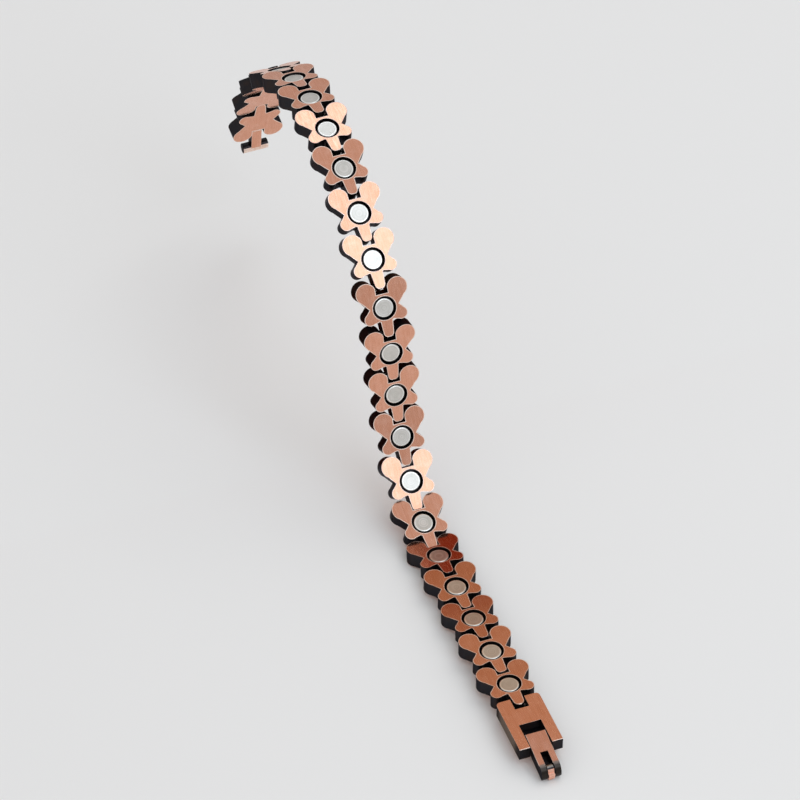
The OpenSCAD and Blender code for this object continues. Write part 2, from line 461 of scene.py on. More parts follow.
def own_copy(pattern):
    """A new object with its own copy of the pattern's mesh."""
    piece = bpy.data.objects.new(pattern.name, pattern.data.copy())
    bpy.context.scene.collection.objects.link(piece)
    return piece


def dress(piece, node, body):
    """Lets a piece ride on a body in the place of a solid."""
    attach(piece, body)
    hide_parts(node)


def dress_with_shift(piece, node, place, body):
    """Sets the finished piece in place of the solid that has the node's name."""
    put(piece, f"{node}_look", place, OWN_SHIFTS[node])
    dress(piece, node, body)


def add_shade_strip(strip, name, place, body, black):
    """Adds a dark strip of painted shade that no solid stands for."""
    paint(strip, [black], lambda middle, normal: 0)
    put(strip, name, place, OWN_SHIFTS[name])
    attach(strip, body)


# Node groups


def new_group(name, inputs, outputs):
    group = bpy.data.node_groups.new(name, "ShaderNodeTree")
    for label, kind, value in inputs:
        socket = group.interface.new_socket(label, in_out="INPUT", socket_type=kind)
        if value is not None:
            socket.default_value = value
    for label, kind in outputs:
        group.interface.new_socket(label, in_out="OUTPUT", socket_type=kind)
    start = group.nodes.new("NodeGroupInput")
    end = group.nodes.new("NodeGroupOutput")
    return group, start, end


def math_node(tree, operation, first, second=None, third=None):
    node = tree.nodes.new("ShaderNodeMath")
    node.operation = operation
    for slot, value in enumerate((first, second, third)):
        if value is None:
            continue
        if isinstance(value, (int, float)):
            node.inputs[slot].default_value = value
        else:
            tree.links.new(value, node.inputs[slot])
    return node.outputs[0]


def ease(tree, value, low, high, low_out=0.0, high_out=1.0):
    """A smooth step of a value between two limits."""
    node = tree.nodes.new("ShaderNodeMapRange")
    node.interpolation_type = "SMOOTHSTEP"
    tree.links.new(value, node.inputs["Value"])
    node.inputs["From Min"].default_value = low
    node.inputs["From Max"].default_value = high
    node.inputs["To Min"].default_value = low_out
    node.inputs["To Max"].default_value = high_out
    return node.outputs["Result"]


def noise(tree, place, scale, detail, roughness=0.5):
    node = tree.nodes.new("ShaderNodeTexNoise")
    tree.links.new(place, node.inputs["Vector"])
    node.inputs["Scale"].default_value = scale
    node.inputs["Detail"].default_value = detail
    node.inputs["Roughness"].default_value = roughness
    return node.outputs["Fac"]


def mix_colours(tree, mask, first, second):
    """A colour between two, each a colour or a socket."""
    node = tree.nodes.new("ShaderNodeMix")
    node.data_type = "RGBA"
    tree.links.new(mask, node.inputs["Factor"])
    for socket, value in ((node.inputs[6], first), (node.inputs[7], second)):
        if isinstance(value, tuple):
            socket.default_value = (*value, 1)
        else:
            tree.links.new(value, socket)
    return node.outputs[2]


def shifted_place(tree, place, shift, stretch=(1, 1, 1)):
    """The piece's own place, stretched, and moved by its own number."""
    move = tree.nodes.new("ShaderNodeVectorMath")
    move.operation = "MULTIPLY_ADD"
    spread = tree.nodes.new("ShaderNodeCombineXYZ")
    for axis in range(3):
        tree.links.new(shift, spread.inputs[axis])
    tree.links.new(place, move.inputs[0])
    move.inputs[1].default_value = stretch
    tree.links.new(spread.outputs[0], move.inputs[2])
    return move.outputs[0]


def make_brushing_group():
    """Long fine strokes that run along the bracelet."""
    group, start, end = new_group(
        "Brush strokes",
        [("Place", "NodeSocketVector", None), ("Shift", "NodeSocketFloat", 0.0)],
        [("Strokes", "NodeSocketFloat"), ("Fine Strokes", "NodeSocketFloat")],
    )
    place, shift = start.outputs["Place"], start.outputs["Shift"]
    broad = shifted_place(group, place, shift, (2.6, 0.22, 1.0))
    fine = shifted_place(group, place, shift, (11.0, 0.5, 4.0))
    group.links.new(noise(group, broad, 1.0, 3.0, 0.6), end.inputs["Strokes"])
    group.links.new(noise(group, fine, 1.0, 2.0, 0.7), end.inputs["Fine Strokes"])
    return group


def make_cloud_group():
    """Slow patches, for tarnish and handling."""
    group, start, end = new_group(
        "Tarnish clouds",
        [
            ("Place", "NodeSocketVector", None),
            ("Shift", "NodeSocketFloat", 0.0),
            ("Coverage", "NodeSocketFloat", 0.5),
        ],
        [("Mask", "NodeSocketFloat")],
    )
    place = shifted_place(group, start.outputs["Place"], start.outputs["Shift"])
    patches = noise(group, place, 0.55, 3.0, 0.6)
    grain = noise(group, place, 6.0, 2.0, 0.6)
    grainy = math_node(group, "MULTIPLY_ADD", grain, 0.25, patches)
    above = math_node(group, "SUBTRACT", grainy, start.outputs["Coverage"])
    group.links.new(ease(group, above, -0.06, 0.26), end.inputs["Mask"])
    return group


def make_pit_group():
    """Tiny pits and specks, as in a plated and tumbled surface."""
    group, start, end = new_group(
        "Fine pits",
        [("Place", "NodeSocketVector", None), ("Shift", "NodeSocketFloat", 0.0)],
        [("Mask", "NodeSocketFloat")],
    )
    place = shifted_place(group, start.outputs["Place"], start.outputs["Shift"])
    specks = noise(group, place, 9.0, 3.0, 0.75)
    group.links.new(ease(group, specks, 0.6, 0.75), end.inputs["Mask"])
    return group


# Materials


class Finish:
    """A material in the making, with its own place and shift to hand."""

    def __init__(self, name, roughness, metallic):
        self.material = bpy.data.materials.new(name)
        self.material.use_nodes = True
        self.tree = self.material.node_tree
        self.shader = self.tree.nodes["Principled BSDF"]
        self.shader.inputs["Roughness"].default_value = roughness
        self.shader.inputs["Metallic"].default_value = metallic
        self.place = self.attribute("own_place", "Vector")
        self.shift = self.attribute("own_shift", "Fac")

    def attribute(self, name, output):
        node = self.tree.nodes.new("ShaderNodeAttribute")
        node.attribute_name = name
        return node.outputs[output]

    def group(self, group, **values):
        node = self.tree.nodes.new("ShaderNodeGroup")
        node.node_tree = group
        self.tree.links.new(self.place, node.inputs["Place"])
        self.tree.links.new(self.shift, node.inputs["Shift"])
        for label, value in values.items():
            node.inputs[label].default_value = value
        return node.outputs

    def part(self, mask, share):
        """A mask brought down to a share of its strength."""
        return math_node(self.tree, "MULTIPLY", mask, share)

    def mix(self, mask, first, second):
        return mix_colours(self.tree, mask, first, second)

    def along(self):
        """The place along the piece, in millimetres."""
        node = self.tree.nodes.new("ShaderNodeSeparateXYZ")
        self.tree.links.new(self.place, node.inputs[0])
        return node.outputs["Y"]

    def colour(self, socket):
        self.tree.links.new(socket, self.shader.inputs["Base Color"])

    def roughness(self, value, span, limits):
        """Runs the roughness between two limits as the value runs over its span."""
        self.tree.links.new(ease(self.tree, value, *span, *limits), self.shader.inputs["Roughness"])

    def bump(self, height, strength, depth_mm):
        node = self.tree.nodes.new("ShaderNodeBump")
        node.inputs["Strength"].default_value = strength
        node.inputs["Distance"].default_value = depth_mm * MM
        self.tree.links.new(height, node.inputs["Height"])
        self.tree.links.new(node.outputs["Normal"], self.shader.inputs["Normal"])


def make_copper_face(name, brushing, clouds, pits, tones=FACE_TONES):
    """The brushed antique copper of the flat faces, in deep, middle and pale tones."""
    deep, middle, pale = tones
    finish = Finish(name, 0.26, 1.0)
    strokes = finish.group(brushing)
    patch = finish.group(clouds, Coverage=0.62)["Mask"]
    speck = finish.group(pits)["Mask"]
    warm = finish.mix(ease(finish.tree, strokes["Strokes"], *STROKE_SPAN), deep, middle)
    toned = finish.mix(finish.part(patch, 0.35), warm, pale)
    finish.colour(finish.mix(finish.part(speck, 0.3), toned, deep))
    finish.roughness(strokes["Fine Strokes"], NOISE_SPAN, COPPER_ROUGHNESS)
    finish.bump(strokes["Fine Strokes"], 0.35, 0.006)
    return finish


def make_edge_wear_and_highlight(brushing, clouds):
    """The thin pale line round the edges: partly copper bared by wear, partly a painted highlight that
    the bevels don't catch by themselves.
    """
    finish = Finish("Copper edge wear and painted highlight", 0.5, 1.0)
    patch = finish.group(clouds, Coverage=0.55)["Mask"]
    strokes = finish.group(brushing)
    finish.colour(finish.mix(patch, WEAR_AND_HIGHLIGHT_PALE, WEAR_AND_HIGHLIGHT_DEEP))
    finish.roughness(strokes["Strokes"], NOISE_SPAN, WEAR_AND_HIGHLIGHT_ROUGHNESS)
    return finish.material


def make_grey_brown_side(clouds):
    """The clasp plate's outer sides, a dull grey brown half way along and black towards both ends."""
    finish = Finish("Grey brown plate side", 0.42, 0.85)
    patch = finish.group(clouds, Coverage=0.75)["Mask"]
    along = finish.along()
    behind_arms = ease(finish.tree, along, *SIDE_BROWN_FROM)
    before_corner = ease(finish.tree, along, *SIDE_BROWN_TO, 1.0, 0.0)
    brown_stretch = math_node(finish.tree, "MULTIPLY", behind_arms, before_corner)
    side = finish.mix(brown_stretch, BLACKENED, SIDE_GREY_BROWN)
    finish.colour(finish.mix(finish.part(patch, 0.5), side, BROWN_BLACK))
    finish.shader.inputs["Specular Tint"].default_value = SIDE_GLOSS
    return finish.material


def make_finger_copper(clouds):
    """The hook's small finger, smooth and pale from use."""
    finish = Finish("Rubbed finger copper", 0.44, 1.0)
    patch = finish.group(clouds, Coverage=0.55)["Mask"]
    finish.colour(finish.mix(patch, PALE_COPPER, COPPER))
    return finish.material


def make_blackened(clouds, pits):
    """The oxidised side walls, gaps and recesses."""
    finish = Finish("Blackened copper", 0.36, 0.85)
    patch = finish.group(clouds, Coverage=0.6)["Mask"]
    speck = finish.group(pits)["Mask"]
    dark = finish.mix(finish.part(patch, 0.5), BLACKENED, BROWN_BLACK)
    finish.colour(finish.mix(finish.part(speck, 0.35), dark, SPECK_BROWN))
    finish.roughness(patch, (0.0, 1.0), BLACK_ROUGHNESS)
    finish.bump(speck, 0.3, 0.01)
    finish.shader.inputs["Specular Tint"].default_value = BLACK_GLOSS
    return finish.material


def turned_circles(finish):
    """A noise that only changes with the distance from the piece's middle."""
    tree = finish.tree
    flat = tree.nodes.new("ShaderNodeVectorMath")
    flat.operation = "MULTIPLY"
    flat.inputs[1].default_value = (1, 1, 0)
    tree.links.new(finish.place, flat.inputs[0])
    radius = tree.nodes.new("ShaderNodeVectorMath")
    radius.operation = "LENGTH"
    tree.links.new(flat.outputs[0], radius.inputs[0])
    spread = tree.nodes.new("ShaderNodeCombineXYZ")
    tree.links.new(radius.outputs["Value"], spread.inputs[0])
    tree.links.new(finish.shift, spread.inputs[1])
    return noise(tree, spread.outputs[0], 7.0, 3.0, 0.7)


def make_magnet_metal(clouds):
    """The nickel of the magnets, with fine turned circles."""
    finish = Finish("Turned nickel", 0.27, 1.0)
    circles = turned_circles(finish)
    patch = finish.group(clouds, Coverage=0.6)["Mask"]
    base = finish.mix(ease(finish.tree, circles, *CIRCLE_SPAN), NICKEL_DARK, NICKEL_LIGHT)
    finish.colour(finish.mix(finish.part(patch, 0.45), base, NICKEL_TARNISH))
    finish.roughness(circles, NOISE_SPAN, NICKEL_ROUGHNESS)
    finish.bump(circles, 0.5, 0.018)
    return finish.material


def make_nickel_rim_wear_and_highlight(clouds):
    """The magnets' rims, painted pale for wear and a painted highlight on the bevel."""
    finish = Finish("Nickel rim wear and painted highlight", 0.34, 1.0)
    patch = finish.group(clouds, Coverage=0.6)["Mask"]
    finish.colour(finish.mix(patch, MAGNET_RIM_WEAR_AND_HIGHLIGHT, MAGNET_RIM_HIGHLIGHT_TARNISH))
    return finish.material


def magnet_pick(middle, normal):
    """1 for the rim round the top, painted pale for wear and a painted highlight, 0 for everything else.
    """
    return 1 if middle.xy.length > MAGNET_RADIUS - MAGNET_RIM and normal.z > 0.3 else 0


def make_wire(name, tones, roughness):
    """Plain drawn wire. It reads Object coordinates, because the solids have no place of their own."""
    material = bpy.data.materials.new(name)
    material.use_nodes = True
    tree = material.node_tree
    shader = tree.nodes["Principled BSDF"]
    shader.inputs["Metallic"].default_value = 1.0
    place = tree.nodes.new("ShaderNodeTexCoord").outputs["Object"]
    marks = noise(tree, place, WIRE_GRAIN, 3.0, 0.6)
    colour = mix_colours(tree, ease(tree, marks, *CIRCLE_SPAN), *tones)
    tree.links.new(colour, shader.inputs["Base Color"])
    limits = (roughness - WIRE_ROUGHNESS_SPREAD, roughness + WIRE_ROUGHNESS_SPREAD)
    tree.links.new(ease(tree, marks, *NOISE_SPAN, *limits), shader.inputs["Roughness"])
    return material


def darken_towards_end(finish, start_y, end_y):
    """Darkens a copper face towards one end of the piece, through a grey band to near black: partly the
    end's dark finish and wear, partly a painted sheen in the grey band and painted shade on the rounded
    end.
    """
    tree = finish.tree
    shader_colour = finish.shader.inputs["Base Color"].links[0].from_socket
    along = finish.along()
    middle_y = (start_y + end_y) / 2
    grey = ease(tree, along, start_y, middle_y, 1.0, 0.0)
    black = ease(tree, along, middle_y, end_y, 1.0, 0.0)
    greyed = finish.mix(math_node(tree, "SUBTRACT", 1.0, grey), shader_colour, FORK_GREY)
    finish.colour(finish.mix(math_node(tree, "SUBTRACT", 1.0, black), greyed, FORK_BLACK))


# The flower links


def meeting_point(corner, centre, radius, side):
    """Where a line from a corner runs into a lobe's side, left or right of the lobe's centre."""
    gap = Vector(centre) - Vector(corner)
    heading = math.atan2(gap.y, gap.x) + side * math.asin(radius / gap.length)
    length = math.sqrt(gap.length**2 - radius**2)
    return (corner[0] + length * math.cos(heading), corner[1] + length * math.sin(heading))


def on_hub(degrees, reach=0.0):
    angle = math.radians(degrees)
    return ((HUB_RADIUS + reach) * math.cos(angle), (HUB_RADIUS + reach) * math.sin(angle))


def mirrored(outline):
    return [(-x, y) for x, y in reversed(outline)]


def web_outlines():
    """The flat webs between the hub and the right-hand lobes."""
    waist = on_hub(WAIST_ANGLE, WAIST_REACH)
    crotch = on_hub(CROTCH_ANGLE)
    big_reach = BIG_LOBE_RADIUS * WEB_BITE
    small_reach = SMALL_LOBE_RADIUS * WEB_BITE
    upper = [
        (0, 0),
        waist,
        meeting_point(waist, BIG_LOBE_PLACE, big_reach, -1),
        BIG_LOBE_PLACE,
        (0, BIG_LOBE_PLACE[1]),
    ]
    lower = [
        (0, 0),
        crotch,
        meeting_point(crotch, SMALL_LOBE_PLACE, small_reach, -1),
        SMALL_LOBE_PLACE,
        meeting_point(waist, SMALL_LOBE_PLACE, small_reach, 1),
        waist,
    ]
    return upper, lower


def model_stem():
    """The tapered stem with its rounded end."""
    root = STEM_WIDTH / 2 + STEM_FLARE / 2
    tip = STEM_WIDTH / 2
    end = -HINGE_AHEAD - STEM_NOSE
    spread = math.asin(tip / NOSE_RADIUS)
    outline = [(-root, -0.2), (-root, -HUB_RADIUS), (-tip, -HINGE_AHEAD)]
    for step in range(NOSE_STEPS + 1):
        angle = spread * (2 * step / NOSE_STEPS - 1)
        outline.append((NOSE_RADIUS * math.sin(angle), end + NOSE_RADIUS * (1 - math.cos(angle))))
    outline += [(tip, -HINGE_AHEAD), (root, -HUB_RADIUS), (root, -0.2)]
    return slab(outline, LINK_THICKNESS)


def cut_nose(link):
    """Cuts the stem's end at 45 degrees above and below."""
    reach = NOSE_CHAMFER / math.sqrt(2)
    for side in (-1, 1):
        cutter = block((-4, -reach, -reach), (4, reach, reach))
        cutter.data.transform(turned(45))
        place = (0, -HINGE_AHEAD - STEM_NOSE, side * LINK_THICKNESS / 2)
        cutter.data.transform(Matrix.Translation(place))
        combine(link, cutter, "DIFFERENCE")
    return link


def model_link():
    """One flower link, lying flat with its magnet's middle at the origin."""
    link = round_bar(HUB_RADIUS, LINK_THICKNESS, (0, 0, 0), HUB_SIDES)
    for side in (-1, 1):
        for radius, (x, y), sides in (
            (BIG_LOBE_RADIUS, BIG_LOBE_PLACE, BIG_LOBE_SIDES),
            (SMALL_LOBE_RADIUS, SMALL_LOBE_PLACE, SMALL_LOBE_SIDES),
        ):
            combine(link, round_bar(radius, LINK_THICKNESS, (side * x, y, 0), sides), "UNION")
    for outline in web_outlines():
        combine(link, slab(outline, LINK_THICKNESS), "UNION")
        combine(link, slab(mirrored(outline), LINK_THICKNESS), "UNION")
    half = NOTCH_WIDTH / 2
    notch = block((-half, HUB_RADIUS - 0.01, -BIG_TOOL), (half, BIG_TOOL, BIG_TOOL))
    combine(link, notch, "DIFFERENCE")
    combine(link, model_stem(), "UNION")
    floor = LINK_THICKNESS / 2 - RECESS_DEPTH
    recess = round_bar(RECESS_RADIUS, 4, (0, 0, floor + 2), HUB_SIDES)
    combine(link, recess, "DIFFERENCE")
    cut_bore(link, PIN_BORE_RADIUS, PIN_BORE_LENGTH, HINGE_BACK)
    cut_bore(link, PIN_BORE_RADIUS, NOTCH_WIDTH, -HINGE_AHEAD)
    cut_nose(link)
    clean_up(link)
    bevel_edges(link, is_rim(LINK_THICKNESS / 2), RIM_BEVEL, 2)
    soften(link)
    return note_own_place(link)


def rim_pick(height, bevel):
    """0 for the flat faces, 1 for the bevels round them, painted pale for wear and a painted highlight,
    2 for everything else.
    """

    def pick(middle, normal):
        if abs(normal.z) > 0.97 and abs(abs(middle.z) - height) < NEAR:
            return 0
        if abs(normal.z) > 0.15 and abs(middle.z) > height - bevel - 0.02:
            return 1
        return 2

    return pick


def is_nose(middle, normal):
    """Whether a face belongs to the bevels at the stem's end."""
    return middle.y < -HINGE_AHEAD - STEM_NOSE + NOSE_CHAMFER and 0.6 < abs(normal.z) < 0.85


def link_pick(middle, normal):
    """As rim_pick, with the bevels at the stem's end left black."""
    if is_nose(middle, normal):
        return 2
    return rim_pick(LINK_THICKNESS / 2, RIM_BEVEL)(middle, normal)


def rub_and_highlight_rims(piece, height, width):
    """Parts a thin ring off the flat faces and paints it pale, for edge wear and a painted highlight
    along the edge.
    """
    take_up(piece)
    bpy.ops.object.mode_set(mode="EDIT")
    bpy.ops.mesh.select_mode(type="FACE")
    bpy.ops.mesh.select_all(action="DESELECT")
    mesh = bmesh.from_edit_mesh(piece.data)
    for face in mesh.faces:
        face.select_set(face.material_index == 0 and abs(face.normal.z) > FLAT_ENOUGH)
    bmesh.update_edit_mesh(piece.data)
    bpy.ops.mesh.inset(thickness=width)
    bpy.ops.object.mode_set(mode="OBJECT")
    for face in piece.data.polygons:
        if face.material_index == 0 and not face.select and abs(face.center.z) > height - NEAR:
            face.material_index = 1
    fill_flat_face_anew(piece, height, 1)
    fill_flat_face_anew(piece, height, -1)
    piece.data.attributes.remove(piece.data.attributes["own_place"])
    note_own_place(piece)
    return keep_faces_flat(piece)


def fill_flat_face_anew(piece, height, side):
    """Lays the upper or lower flat face again in triangles that run cleanly round the recess."""
    bpy.ops.object.mode_set(mode="EDIT")
    bpy.ops.mesh.select_all(action="DESELECT")
    mesh = bmesh.from_edit_mesh(piece.data)
    for face in mesh.faces:
        high_enough = side * face.calc_center_median().z > height - NEAR
        face.select_set(face.material_index == 0 and high_enough)
    bmesh.update_edit_mesh(piece.data)
    bpy.ops.mesh.delete(type="FACE")
    bpy.ops.mesh.select_mode(type="EDGE")
    bpy.ops.mesh.select_non_manifold(
        use_wire=False, use_multi_face=False, use_non_contiguous=False, use_verts=False
    )
    bpy.ops.mesh.fill(use_beauty=True)
    bpy.ops.mesh.select_mode(type="FACE")
    bpy.ops.mesh.select_all(action="SELECT")
    bpy.ops.mesh.normals_make_consistent(inside=False)
    bpy.ops.object.mode_set(mode="OBJECT")


def keep_faces_flat(piece):
    """Shades the flat faces by their own direction, clear of the bevels round them."""
    for face in piece.data.polygons:
        if abs(face.normal.z) > FLAT_ENOUGH:
            face.use_smooth = False
    return piece


def highlight_nose_bevels(link):
    """Paints the bevels at the stem's end pale, a painted highlight, as on the link at the clasp."""
    for face in link.data.polygons:
        if is_nose(face.center, face.normal):
            face.material_index = 1


def place_links(pattern):
    """Lays a copy of the pattern in every link's place."""
    for number in range(1, LINK_COUNT + 1):
        name = f"link_{number:02d}"
        link = own_copy(pattern)
        if number == 1:
            highlight_nose_bevels(link)
        put(link, f"{name}_look", link_place(number), number * LINK_SHIFT)
        dress(link, name, "root")
    bpy.data.objects.remove(pattern)


def model_magnet():
    """A round magnet with a turned, softly bevelled edge."""
    top = LINK_THICKNESS / 2 - MAGNET_SINK
    place = (0, 0, top - MAGNET_HEIGHT / 2)
    magnet = round_bar(MAGNET_RADIUS, MAGNET_HEIGHT, place, MAGNET_SIDES)
    take_up(magnet)
    bpy.ops.object.mode_set(mode="EDIT")
    bpy.ops.mesh.select_mode(type="FACE")
    bpy.ops.mesh.select_all(action="DESELECT")
    mesh = bmesh.from_edit_mesh(magnet.data)
    for face in mesh.faces:
        face.select_set(face.normal.z > 0.9)
    bmesh.update_edit_mesh(magnet.data)
    bpy.ops.mesh.inset(thickness=MAGNET_RIM)
    bpy.ops.mesh.inset(thickness=MAGNET_DISH_RING, depth=-MAGNET_DISH_DEPTH)
    bpy.ops.object.mode_set(mode="OBJECT")
    bevel_edges(magnet, is_magnet_edge, MAGNET_BEVEL, 3)
    soften(magnet, 40)
    return note_own_place(magnet)


def is_magnet_edge(edge, middle, first, second):
    """The edge round the magnet's top."""
    return max(first.z, second.z) > 0.9 and min(first.z, second.z) < 0.1


def place_magnets(pattern):
    """Lays a copy of the pattern in every link's recess."""
    for number in range(1, LINK_COUNT + 1):
        name = f"magnet_{number:02d}"
        magnet = put(own_copy(pattern), f"{name}_look", link_place(number), number * MAGNET_SHIFT)
        dress(magnet, name, "root")
    bpy.data.objects.remove(pattern)


# The clasp


def model_clasp_plate():
    """The plate with its notch and window, with the hinge of link 1 at the origin."""
    half = PLATE_WIDTH / 2
    thick = PLATE_THICKNESS / 2
    plate = block((-half, -PLATE_LENGTH, -thick), (half, PLATE_BACK, thick))
    bevel_edges(plate, is_upright(PLATE_BACK - 0.1, PLATE_BACK + 0.1), PLATE_CORNER, 8)
    side = PLATE_NOTCH_WIDTH / 2
    notch = block((-side, PLATE_NOTCH_END, -BIG_TOOL), (side, BIG_TOOL, BIG_TOOL))
    combine(plate, notch, "DIFFERENCE")
    side = WINDOW_WIDTH / 2
    window = block((-side, -BIG_TOOL, -BIG_TOOL), (side, WINDOW_LENGTH - PLATE_LENGTH, BIG_TOOL))
    combine(plate, window, "DIFFERENCE")
    cut_bore(plate, PIN_BORE_RADIUS, PIN_BORE_LENGTH, 0)
    cut_bore(plate, LEVER_BORE_RADIUS, PIN_BORE_LENGTH, LEVER_PIN_Y, -LEVER_DROP)
    clean_up(plate)
    bevel_edges(plate, is_arm_tip, ARM_ROUNDING, 4)
    bevel_edges(plate, is_rim(thick), RIM_BEVEL, 2)
    soften(plate)
    return note_own_place(plate)


def plate_pick(middle, normal):
    """As rim_pick, with 3 for the two outer sides."""
    if abs(normal.x) > SIDEWAYS and abs(middle.x) > PLATE_WIDTH / 2 - 2 * NEAR:
        return 3
    return rim_pick(PLATE_THICKNESS / 2, RIM_BEVEL)(middle, normal)


def model_window_shade_strip():
    """A dark strip of painted shade low on the window's rear wall, behind the lever's heel."""
    half = WINDOW_WIDTH / 2
    low = -PLATE_THICKNESS / 2
    wall = WINDOW_LENGTH - PLATE_LENGTH
    lip = block((-half, wall - WINDOW_SHADE_REACH, low), (half, wall, low + STRIP_THICKNESS))
    return note_own_place(lip)


def is_arm_tip(edge, middle, first, second):
    """The upper and lower edges across the ends of the two arms."""
    crosswise = abs(edge.verts[0].co.x - edge.verts[1].co.x) > 0.5
    return crosswise and middle.y < -PLATE_LENGTH + NEAR


def model_clasp_lever():
    """The forked lever, lying level with its hinge pin at the origin."""
    half = LEVER_WIDTH / 2
    thick = LEVER_THICKNESS / 2
    toe_y = LEVER_TOE - LEVER_LENGTH
    lever = round_bar(LEVER_HEEL, LEVER_WIDTH, (0, 0, 0), LEVER_SIDES, crosswise=True)
    combine(lever, block((-half, toe_y, -thick), (half, 0, thick)), "UNION")
    toe_place = (0, toe_y, thick - LEVER_TOE)
    toe = round_bar(LEVER_TOE, LEVER_WIDTH, toe_place, LEVER_SIDES, crosswise=True)
    combine(lever, toe, "UNION")
    keep = block((-BIG_TOOL, -BIG_TOOL, -thick), (BIG_TOOL, BIG_TOOL, thick))
    combine(lever, keep, "INTERSECT")
    cut_bore(lever, LEVER_BORE_RADIUS, BIG_TOOL, 0)
    side = FORK_SLOT_WIDTH / 2
    slot = block((-side, -BIG_TOOL, -BIG_TOOL), (side, FORK_SLOT_LENGTH - LEVER_LENGTH, BIG_TOOL))
    combine(lever, slot, "DIFFERENCE")
    cut_bore(lever, FORK_BORE_RADIUS, FORK_BORE_LENGTH, FORK_PIN_Y, 0, FORK_BORE_SIDES)
    clean_up(lever)
    bevel_edges(lever, is_lever_side, RIM_BEVEL * 0.8, 2)
    soften(lever)
    return note_own_place(lever)


def is_lever_side(edge, middle, first, second):
    """The long edges between the lever's sides or slot walls and its upper and lower skin."""
    sideways = max(abs(first.x), abs(second.x)) > SIDEWAYS
    skin = min(abs(first.x), abs(second.x)) < 0.1
    near_skin = middle.yz.length > LEVER_BORE_RADIUS + 0.1
    clear_of_pin = (middle.yz - Vector((FORK_PIN_Y, 0))).length > FORK_BORE_RADIUS + 0.1
    return sideways and skin and near_skin and clear_of_pin


def lever_pick(middle, normal):
    """0 for the flat faces and rounded ends seen from above, 1 for the bevels, 2 for the sides."""
    if abs(normal.x) > SIDEWAYS:
        return 2
    if abs(normal.x) > 0.1:
        return 1 if middle.y > LEVER_TOE - LEVER_LENGTH - 0.2 else 2
    if middle.y > LEVER_HEEL * 0.45:
        return 0 if abs(normal.z) > 0.8 else 2
    if middle.y > FORK_SLOT_LENGTH - LEVER_LENGTH - 0.02 and abs(normal.z) < 0.5:
        return 2
    return 0 if abs(middle.z) > 0.3 or middle.y < -LEVER_LENGTH + 0.4 else 2


def model_slot_shade_strip():
    """A dark strip of painted shade that closes the fork's slot from below, behind the finger."""
    half = FORK_SLOT_WIDTH / 2
    low = -LEVER_THICKNESS / 2
    slot_end = FORK_SLOT_LENGTH - LEVER_LENGTH
    strip = block((-half, SLOT_SHADE_END, low), (half, slot_end, low + STRIP_THICKNESS))
    return note_own_place(strip)


def model_hook_finger():
    """The finger between the fork's tines, with the cross pin at the origin."""
    half = FINGER_WIDTH / 2
    finger = round_bar(FINGER_EYE, FINGER_WIDTH, (0, 0, 0), 48, crosswise=True)
    combine(finger, block((-half, -FINGER_AHEAD, -FINGER_REACH), (half, 0, 0)), "UNION")
    cut_bore(finger, FORK_BORE_RADIUS, BIG_TOOL, 0, 0, FORK_BORE_SIDES)
    clean_up(finger)
    bevel_edges(finger, is_finger_edge, FINGER_BEVEL, 4)
    soften(finger, ROUND_EDGE)
    return note_own_place(finger)


def is_finger_edge(edge, middle, first, second):
    """All sharp edges but the ones round the bore."""
    return middle.yz.length > FINGER_EYE - 0.05


def finger_pick(middle, normal):
    """0 for the finger, 1 for the pale eye on the cross pin, 2 for a band of painted shade between the
    two, where a gap shows.
    """
    if middle.y > FINGER_EYE_Y:
        return 1
    return 2 if middle.y > FINGER_SHADE_Y and abs(normal.x) < 0.5 else 0


def model_end_catch():
    """The plain tongue and its cross bar, with the last hinge at the origin."""
    half = STEM_WIDTH / 2
    thick = CATCH_THICKNESS / 2
    catch = round_bar(STEM_NOSE + 0.01, STEM_WIDTH, (0, 0, 0), 48, crosswise=True)
    combine(catch, block((-half, 0, -thick), (half, CATCH_LENGTH, thick)), "UNION")
    keep = block((-BIG_TOOL, -STEM_NOSE, -thick), (BIG_TOOL, BIG_TOOL, thick))
    combine(catch, keep, "INTERSECT")
    bar = round_bar(CATCH_BAR_RADIUS, CATCH_BAR_LENGTH, (0, CATCH_LENGTH, 0), 48, crosswise=True)
    combine(catch, bar, "UNION")
    cut_bore(catch, PIN_BORE_RADIUS, BIG_TOOL, 0)
    clean_up(catch)
    bevel_edges(catch, is_catch_edge, RIM_BEVEL, 3)
    soften(catch, 25)
    return note_own_place(catch)


def is_catch_edge(edge, middle, first, second):
    """The rims of the tongue's sides and of the bar's ends, clear of the bore."""
    sideways = max(abs(first.x), abs(second.x)) > SIDEWAYS
    round_or_flat = min(abs(first.x), abs(second.x)) < 0.1
    on_tongue = abs(middle.x) < STEM_WIDTH / 2 + NEAR
    bar_root = on_tongue and middle.y > CATCH_LENGTH - CATCH_BAR_RADIUS - 0.05
    return sideways and round_or_flat and middle.yz.length > PIN_BORE_RADIUS + 0.1 and not bar_root


# Light, floor and camera


def make_floor():
    """The plain pale ground that the clasp and the first links lie on."""
    deselect_everything()
    bpy.ops.mesh.primitive_plane_add(size=FLOOR_SIZE, location=(0, 0, FLOOR_HEIGHT))
    floor = bpy.context.object
    floor.name = "floor"
    material = bpy.data.materials.new("Pale floor")
    material.use_nodes = True
    shader = material.node_tree.nodes["Principled BSDF"]
    shader.inputs["Base Color"].default_value = FLOOR_COLOUR
    shader.inputs["Roughness"].default_value = 0.7
    shader.inputs["Specular IOR Level"].default_value = 0.2
    floor.data.materials.append(material)


